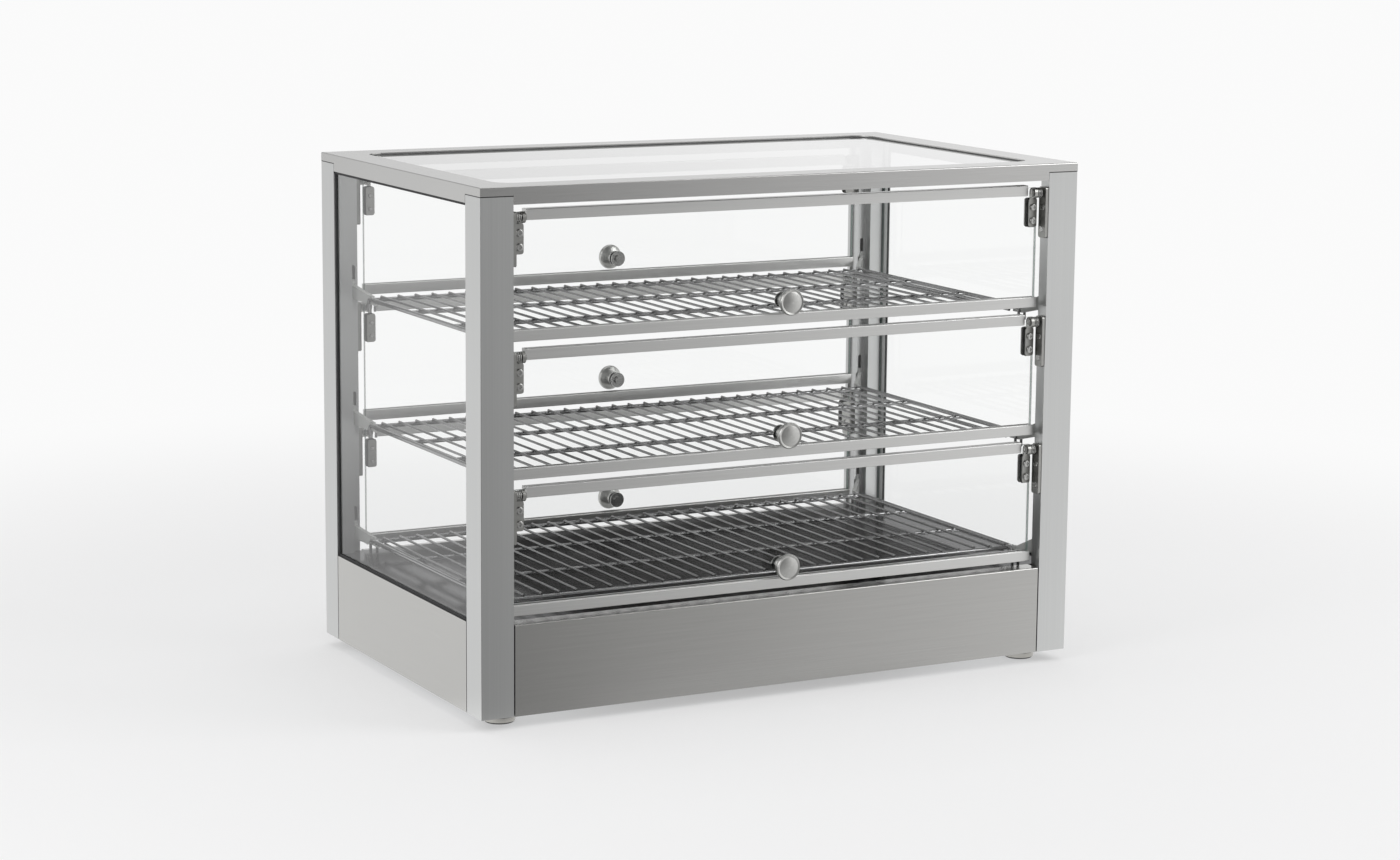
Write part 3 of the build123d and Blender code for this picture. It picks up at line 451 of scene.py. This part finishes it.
finish, place, shader = new_finish("galvanised_sheet", Metallic=1.0, Roughness=ZINC_ROUGH)
spangle = place.node("ShaderNodeTexVoronoi", Vector=place, Scale=ZINC_CRYSTALS)["Color"]
shade = spangle.node("ShaderNodeSeparateColor", Color=spangle)["Red"]
tones(shade, ZINC_DARK, ZINC_LIGHT).feed(shader.inputs["Base Color"])
finish_with(finish, "bottom_plate")

# Feet: aluminium discs turned on a lathe, with fine rings round them. The neck above each is painted dark
# as shade under the bottom plate, and each stands on a thin dark pad let in below.
FOOT_DARK = (0.28, 0.275, 0.26)
FOOT_LIGHT = (0.50, 0.49, 0.46)
FOOT_ROUGH = (0.26, 0.41)
FOOT_RINGS = (40, 40, 2500)
NECK_HEIGHT = 0.0088
PAD_HEIGHT = 0.0019
NECK_SHADE_AND_PAD_DARK = (0.05, 0.05, 0.05)
NECK_ROUGHER = 0.3

finish, place, shader = new_finish("turned_foot_aluminium", Metallic=1.0)
height = place.apart()[2]
rings = noise(place, detail=2, stretch=FOOT_RINGS)
# Painted shade on the neck and the pad's own dark colour share one mask and one colour.
neck_shade_and_pad = (height > NECK_HEIGHT) + (height < PAD_HEIGHT)
covered(tones(rings, FOOT_DARK, FOOT_LIGHT), neck_shade_and_pad, NECK_SHADE_AND_PAD_DARK).feed(shader.inputs["Base Color"])
(between(rings, FOOT_ROUGH) + neck_shade_and_pad * NECK_ROUGHER).feed(shader.inputs["Roughness"])
finish_with(finish, "feet")

# Shelf support arms: stamped steel plates, hooked in the posts' slots. They have a matt grey powder coating,
# with a fine grit that shows from close by.
ARM_DARK = (0.35, 0.355, 0.345)
ARM_LIGHT = (0.42, 0.425, 0.415)
ARM_ROUGH = (0.40, 0.55)
ARM_GRIT = 700
ARM_RELIEF = 0.15
ARM_SHINE = 0.45
GRIT_DEPTH = 0.0001


def grained(name, dark, light, rough, scale=1, detail=3, stretch=None, relief=0, depth=GRIT_DEPTH, **fixed):
    """A finish with one fine grain, which its tone, its roughness and any relief all follow."""
    finish, place, shader = new_finish(name, **fixed)
    grain = noise(place, scale, detail, stretch)
    tones(grain, dark, light).feed(shader.inputs["Base Color"])
    between(grain, rough).feed(shader.inputs["Roughness"])
    if relief:
        raised(grain, relief, depth).feed(shader.inputs["Normal"])
    return finish


finish_with(grained("matt_grey_coating", ARM_DARK, ARM_LIGHT, ARM_ROUGH, ARM_GRIT, detail=2,
                    relief=ARM_RELIEF, Specular_IOR_Level=ARM_SHINE),
            "shelf_supports")

# Shelves: round steel wires, welded where they cross and then chromed.
# The chrome mirrors the dark front of the room, with thin bright lines along each wire.
CHROME_DARK = (0.22, 0.22, 0.222)
CHROME_LIGHT = (0.34, 0.34, 0.342)
CHROME_ROUGH = (0.10, 0.20)
CHROME_HAZE = 120

finish_with(grained("chromed_wire", CHROME_DARK, CHROME_LIGHT, CHROME_ROUGH, CHROME_HAZE, Metallic=1.0),
            "shelf_upper", "shelf_middle", "shelf_lower")

# Hinge brackets and clamps: zinc castings with dark nickel plating. The brackets are screwed to the posts,
# and each clamp holds a pane between two plates.
NICKEL_DARK = (0.32, 0.32, 0.305)
NICKEL_LIGHT = (0.46, 0.46, 0.445)
NICKEL_ROUGH = (0.26, 0.40)
NICKEL_CAST = 260
NICKEL_RELIEF = 0.2

finish_with(grained("dark_nickel", NICKEL_DARK, NICKEL_LIGHT, NICKEL_ROUGH, NICKEL_CAST, detail=4,
                    relief=NICKEL_RELIEF, Metallic=1.0),
            "hinge_brackets", *nodes_named("door_", "_hinge_clamps"))

# Hinge springs: spring wire, drawn with fine lines on it and wound cold into an open coil on each hinge pin.
# They pull the doors shut.
WIRE_DARK = (0.36, 0.36, 0.35)
WIRE_LIGHT = (0.52, 0.52, 0.51)
WIRE_ROUGH = (0.18, 0.30)
WIRE_LINES = 900

finish_with(grained("spring_wire", WIRE_DARK, WIRE_LIGHT, WIRE_ROUGH, WIRE_LINES, detail=2, Metallic=1.0),
            "hinge_springs")

# Screws, pins and washers: turned and pressed steel, plated with a brighter nickel than the clamps.
# The screws go through the clamps' plates and the glass, and through the brackets to the posts.
PLATED_DARK = (0.42, 0.42, 0.41)
PLATED_LIGHT = (0.58, 0.58, 0.57)
PLATED_ROUGH = (0.16, 0.28)
PLATED_MARKS = 500

finish_with(grained("plated_screws", PLATED_DARK, PLATED_LIGHT, PLATED_ROUGH, PLATED_MARKS, Metallic=1.0),
            "hinge_pins", "bracket_screws", *nodes_named("door_", "_fasteners"))

# Door rails: thin aluminium channels, drawn and satin anodised, glued on the panes' top and bottom edges.
# Faint lines from the die run along them.
RAIL_DARK = (0.61, 0.61, 0.60)
RAIL_LIGHT = (0.71, 0.71, 0.70)
RAIL_ROUGH = (0.28, 0.38)
RAIL_LINES = (5, 1100, 1100)
RAIL_RELIEF = 0.1

finish_with(grained("satin_rail_aluminium", RAIL_DARK, RAIL_LIGHT, RAIL_ROUGH, stretch=RAIL_LINES,
                    relief=RAIL_RELIEF, depth=LINE_DEPTH, Metallic=1.0),
            *nodes_named("door_", "_rails"))

# Clamp gaskets: a black rubber pad sits between each clamp plate and the glass, inside and outside.
# It stands out round the plate as a thin black line, so only the pad's rim is made, as a flat ring round
# a plate of PLATE_WIDTH and PLATE_HEIGHT.
GASKET_EDGE = 0.0006
GASKET_WIDTH = 0.00096
GASKET_THICK = 0.0007
GASKET_ROUND = 0.0028
GASKET_ROUGH = (0.55, 0.75)
GASKET_GRAIN = 600
GASKET_SHINE = 0.3
PLATE_WIDTH = 0.011
PLATE_HEIGHT = 0.0338


def gasket_ring(name, low, high, glass_y, out):
    """A flat ring round one plate, whose corners low and high are (x, z), on the glass face at glass_y."""
    bpy.ops.object.select_all(action="DESELECT")
    bpy.ops.mesh.primitive_plane_add(size=1, location=(0, 0, 0))
    ring = bpy.context.object
    ring.name = name
    ring.scale = (high[0] - low[0] + 2 * GASKET_EDGE, high[1] - low[1] + 2 * GASKET_EDGE, 1)
    ring.rotation_euler = (math.radians(90), 0, 0)
    ring.location = ((low[0] + high[0]) / 2, glass_y, (low[1] + high[1]) / 2)
    bpy.ops.object.transform_apply(location=True, rotation=True, scale=True)
    bpy.ops.object.mode_set(mode="EDIT")
    bpy.ops.mesh.select_all(action="SELECT")
    bpy.ops.mesh.bevel(offset=GASKET_ROUND, segments=4, affect="VERTICES")
    bpy.ops.mesh.inset(thickness=GASKET_WIDTH, depth=0)
    bpy.ops.mesh.delete(type="FACE")
    bpy.ops.mesh.select_all(action="SELECT")
    bpy.ops.mesh.extrude_region_move(TRANSFORM_OT_translate={"value": (0, out * GASKET_THICK, 0)})
    bpy.ops.mesh.select_all(action="SELECT")
    bpy.ops.mesh.normals_make_consistent(inside=False)
    bpy.ops.object.mode_set(mode="OBJECT")
    return ring


def joined(name, pieces):
    """Joins pieces into one object with that name."""
    bpy.ops.object.select_all(action="DESELECT")
    for piece in pieces:
        piece.select_set(True)
    bpy.context.view_layer.objects.active = pieces[0]
    bpy.ops.object.join()
    pieces[0].name = name
    return pieces[0]


gasket_finish = grained("black_gasket_rubber", SEAL_DARK, SEAL_LIGHT, GASKET_ROUGH, GASKET_GRAIN, detail=2,
                        Specular_IOR_Level=GASKET_SHINE)
for node in nodes_named("door_", "_hinge_clamps"):
    door = node.removesuffix("_hinge_clamps")
    glass_low, glass_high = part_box(f"{door}_glass")
    clamp_low, clamp_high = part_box(node)
    plate_low_x = clamp_high.x - PLATE_WIDTH
    plate_high_z = clamp_low.z + PLATE_HEIGHT
    rings = []
    for side_x in (-1, 1):
        ends = sorted((side_x * plate_low_x, side_x * clamp_high.x))
        for glass_y, out in ((glass_low.y, -1), (glass_high.y, 1)):
            rings.append(gasket_ring("ring", (ends[0], clamp_low.z), (ends[1], plate_high_z), glass_y, out))
    gaskets = joined(f"{door}_gaskets", rings)
    gaskets.data.materials.append(gasket_finish)
    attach(gaskets, door)

# Knobs: turned brass with a satin chrome plating, mushroom shaped to be pulled with two fingers.
# Each one is screwed through the glass on two washers.
KNOB_DARK = (0.46, 0.46, 0.445)
KNOB_LIGHT = (0.60, 0.60, 0.585)
KNOB_ROUGH = (0.30, 0.38)
KNOB_MARKS = 350

finish_with(grained("satin_chrome", KNOB_DARK, KNOB_LIGHT, KNOB_ROUGH, KNOB_MARKS, Metallic=1.0),
            *nodes_named("door_", "_knob"))

# Heating element: a nickel steel tube bent back and forth on two carriers, under the floor plate.
# Use has dulled it and given it a straw colour in patches.
SCALE_DARK = (0.16, 0.14, 0.12)
SCALE_LIGHT = (0.34, 0.30, 0.25)
SCALE_ROUGH = (0.40, 0.60)
SCALE_PATCHES = 30

finish_with(grained("heat_dulled_steel", SCALE_DARK, SCALE_LIGHT, SCALE_ROUGH, SCALE_PATCHES, detail=4,
                    Metallic=1.0),
            "heating_element")

# Rear controls: the thermostat's body behind the panel and the switch's housing, both black and moulded
# with a fine grain, and a black nylon gland for the supply cable.
PLASTIC_DARK = (0.014, 0.014, 0.015)
PLASTIC_LIGHT = (0.030, 0.030, 0.032)
PLASTIC_ROUGH = (0.36, 0.52)
PLASTIC_GRAIN = 900
PLASTIC_RELIEF = 0.1
PLASTIC_SHINE = 0.45

finish_with(grained("black_moulded_plastic", PLASTIC_DARK, PLASTIC_LIGHT, PLASTIC_ROUGH, PLASTIC_GRAIN,
                    detail=2, relief=PLASTIC_RELIEF, Specular_IOR_Level=PLASTIC_SHINE),
            "thermostat", "switch_housing", "cable_gland")

# Thermostat scale: plain numbers in degrees, printed in black on the rear panel round the knob. A white
# line let into the knob's grip points at the first number when the heat is off.
DIAL_NUMBERS = ("0", "30", "45", "60", "75", "90")
DIAL_TURN = math.radians(270)
DIAL_START = math.radians(90)
NUMBER_RADIUS = 0.0245
NUMBER_SIZE = 0.0065
PRINT_THICK = 0.00012
PRINT_ROUGH = (0.45, 0.65)
PRINT_GRAIN = 800
PRINT_SHINE = 0.3
DIAL_ROUGH = 0.42
KNOB_GAP = 0.0008
POINTER_HALF = 0.0007
POINTER_START = 0.008
POINTER_DEPTH = 0.0036
POINTER_WHITE = (0.75, 0.75, 0.74)

knob_low, knob_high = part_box("thermostat_knob")
dial_x = (knob_low.x + knob_high.x) / 2
dial_z = (knob_low.z + knob_high.z) / 2
panel_y = knob_low.y - KNOB_GAP


def printed(figure, angle, radius):
    """Makes a flat text a mesh, and moves it from the middle of the dial to its place on the rear panel."""
    bpy.ops.object.select_all(action="DESELECT")
    figure.select_set(True)
    bpy.context.view_layer.objects.active = figure
    bpy.ops.object.convert(target="MESH")
    figure.rotation_euler = (math.radians(90), 0, math.radians(180))
    figure.location = (dial_x - radius * math.cos(angle), panel_y, dial_z + radius * math.sin(angle))
    bpy.ops.object.transform_apply(location=True, rotation=True, scale=True)
    return figure


figures = []
for step, number in enumerate(DIAL_NUMBERS):
    angle = DIAL_START - DIAL_TURN * step / (len(DIAL_NUMBERS) - 1)
    bpy.ops.object.text_add()
    figure = bpy.context.object
    figure.data.body = number
    figure.data.size = NUMBER_SIZE
    figure.data.align_x = "CENTER"
    figure.data.align_y = "CENTER"
    figure.data.extrude = PRINT_THICK
    figures.append(printed(figure, angle, NUMBER_RADIUS))
scale = joined("thermostat_scale", figures)
print_finish = grained("black_panel_print", PLASTIC_DARK, PLASTIC_LIGHT, PRINT_ROUGH, PRINT_GRAIN, detail=2,
                       Specular_IOR_Level=PRINT_SHINE)
scale.data.materials.append(print_finish)
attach(scale, "root")

finish, place, shader = new_finish(
    "black_dial_plastic", Specular_IOR_Level=PLASTIC_SHINE, Roughness=DIAL_ROUGH)
across, back, height = place.apart()
on_grip = (height > dial_z + POINTER_START) * (back > knob_high.y - POINTER_DEPTH)
pointer = ((across - dial_x).math("ABSOLUTE") < POINTER_HALF) * on_grip
plastic = tones(noise(place, PLASTIC_GRAIN, detail=2), PLASTIC_DARK, PLASTIC_LIGHT)
covered(plastic, pointer, POINTER_WHITE).feed(shader.inputs["Base Color"])
finish_with(finish, "thermostat_knob")

# Switch rocker: glossy red plastic, clear enough for the lamp inside it to show when the heat is on.
# It tips on a cross pin in its black housing.
ROCKER_DARK = (0.42, 0.016, 0.012)
ROCKER_LIGHT = (0.52, 0.024, 0.018)
ROCKER_MOTTLE = 300
ROCKER_ROUGH = 0.3
ROCKER_COAT = 0.3

finish, place, shader = new_finish("red_rocker_plastic", Coat_Weight=ROCKER_COAT, Roughness=ROCKER_ROUGH)
mottle = noise(place, ROCKER_MOTTLE, detail=2)
tones(mottle, ROCKER_DARK, ROCKER_LIGHT).feed(shader.inputs["Base Color"])
finish_with(finish, "switch_rocker")
